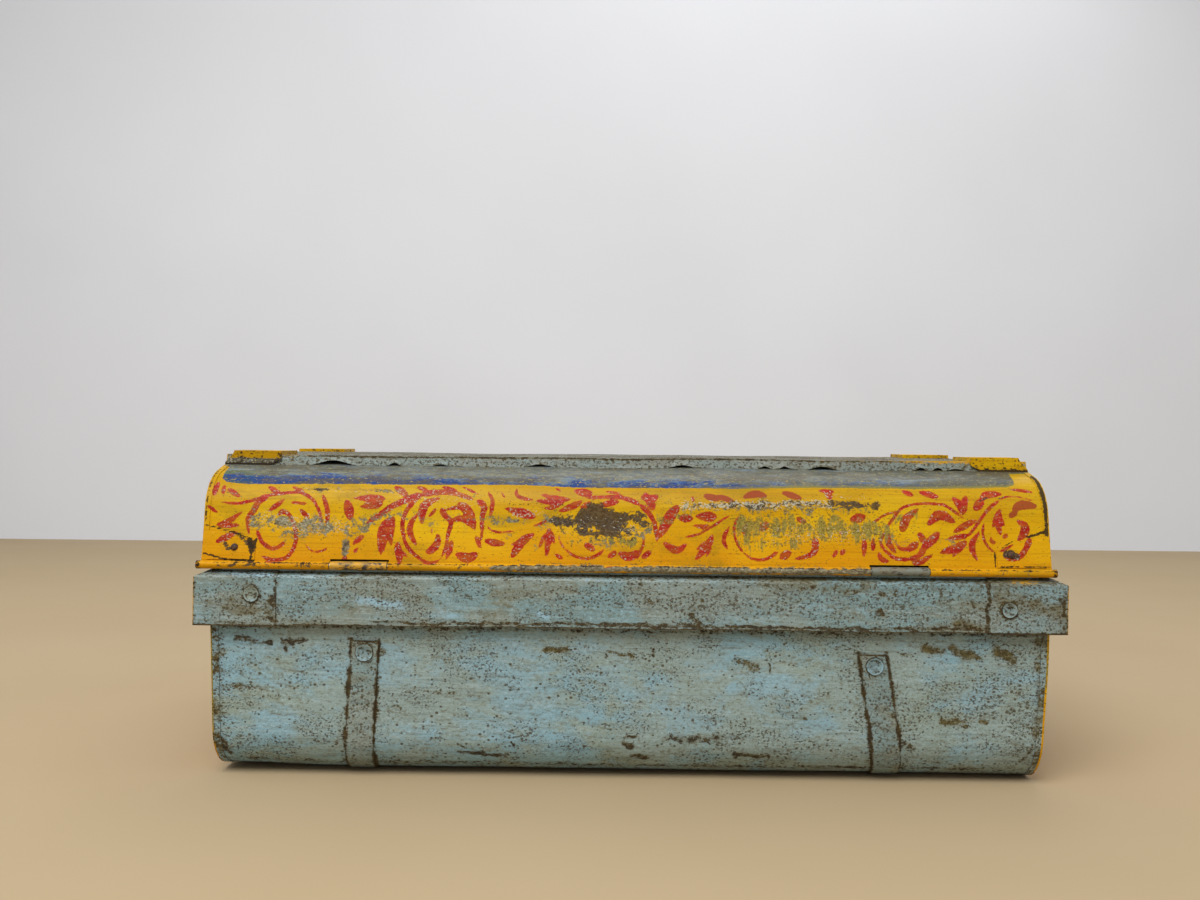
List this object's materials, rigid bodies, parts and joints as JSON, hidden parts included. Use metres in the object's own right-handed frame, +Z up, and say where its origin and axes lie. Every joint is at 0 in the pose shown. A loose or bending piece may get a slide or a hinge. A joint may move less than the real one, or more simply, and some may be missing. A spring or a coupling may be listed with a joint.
{
  "type": "trunk",
  "caption": "Painted sheet-steel trunk with a rim band, a raised lid on its edge wire, two straps under it, hasps with staples, and drop handles at the ends.",
  "frame": {"origin": "middle of the trunk's outer box, on the floor under the two straps", "axes": "+X along the length, towards the right end as seen from the hinge side; -Y is the hinge side, which the picture shows, +Y the hasp side; +Z up"},
  "size_m": [0.7854, 0.4458, 0.2953],
  "materials": {
    "blue_paint": "satin, worn",
    "yellow_paint": "satin, worn",
    "teal_paint": "matte, worn",
    "strap_paint": "satin, rusted edges",
    "rusted_iron": "dull, rusted",
    "bright_wire": "dull"
  },
  "bodies": {
    "trunk_body": {"body_wrap": "blue_paint", "body_end_left": "yellow_paint", "body_end_right": "yellow_paint", "rim_strip_back": "blue_paint", "rim_strip_front": "blue_paint", "rim_end_left": "blue_paint", "rim_end_right": "blue_paint", "rim_rivets": "blue_paint", "strap_left": "strap_paint", "strap_right": "strap_paint", "strap_rivets": "blue_paint", "hinge_leaf_left": "rusted_iron", "hinge_leaf_right": "rusted_iron", "hinge_rivets": "rusted_iron", "staple_plate_left": "rusted_iron", "staple_plate_right": "rusted_iron", "staple_left": "rusted_iron", "staple_right": "rusted_iron", "staple_plate_rivets": "rusted_iron", "handle_clips_left": "rusted_iron", "handle_clips_right": "rusted_iron", "handle_clip_rivets": "rusted_iron"},
    "lid": {"lid_back_sheet": "yellow_paint", "lid_front_sheet": "yellow_paint", "lid_top_panel": "teal_paint", "lid_end_left": "yellow_paint", "lid_end_right": "yellow_paint", "lid_wire_back": "bright_wire", "lid_wire_front": "bright_wire", "lid_cap_back_left": "yellow_paint", "lid_cap_back_right": "yellow_paint", "lid_cap_front_left": "yellow_paint", "lid_cap_front_right": "yellow_paint", "lid_tab_nails": "rusted_iron", "hasp_plate_left": "rusted_iron", "hasp_plate_right": "rusted_iron", "hasp_plate_rivets": "rusted_iron", "hasp_pin_left": "bright_wire", "hasp_pin_right": "bright_wire"},
    "hasp_left": {"hasp_left": "rusted_iron"},
    "hasp_right": {"hasp_right": "rusted_iron"},
    "handle_left": {"handle_left": "rusted_iron"},
    "handle_right": {"handle_right": "rusted_iron"}
  },
  "joints": [
    {"name": "lid_hinge", "type": "hinge", "parent": "trunk_body", "child": "lid", "pos_m": [0, -0.216, 0.193], "axis": [1, 0, 0], "range_deg": [0, 160]},
    {"name": "hasp_left_hinge", "type": "hinge", "parent": "lid", "child": "hasp_left", "pos_m": [-0.225, 0.21295, 0.19], "axis": [1, 0, 0], "range_deg": [-194, 0]},
    {"name": "hasp_right_hinge", "type": "hinge", "parent": "lid", "child": "hasp_right", "pos_m": [0.225, 0.21295, 0.19], "axis": [1, 0, 0], "range_deg": [-194, 0]},
    {"name": "handle_left_swing", "type": "hinge", "parent": "trunk_body", "child": "handle_left", "pos_m": [-0.38668, -0.0065, 0.11177], "axis": [0, 1, 0], "range_deg": [-6, 160]},
    {"name": "handle_right_swing", "type": "hinge", "parent": "trunk_body", "child": "handle_right", "pos_m": [0.38668, -0.0065, 0.11177], "axis": [0, -1, 0], "range_deg": [-6, 160]}
  ]
}
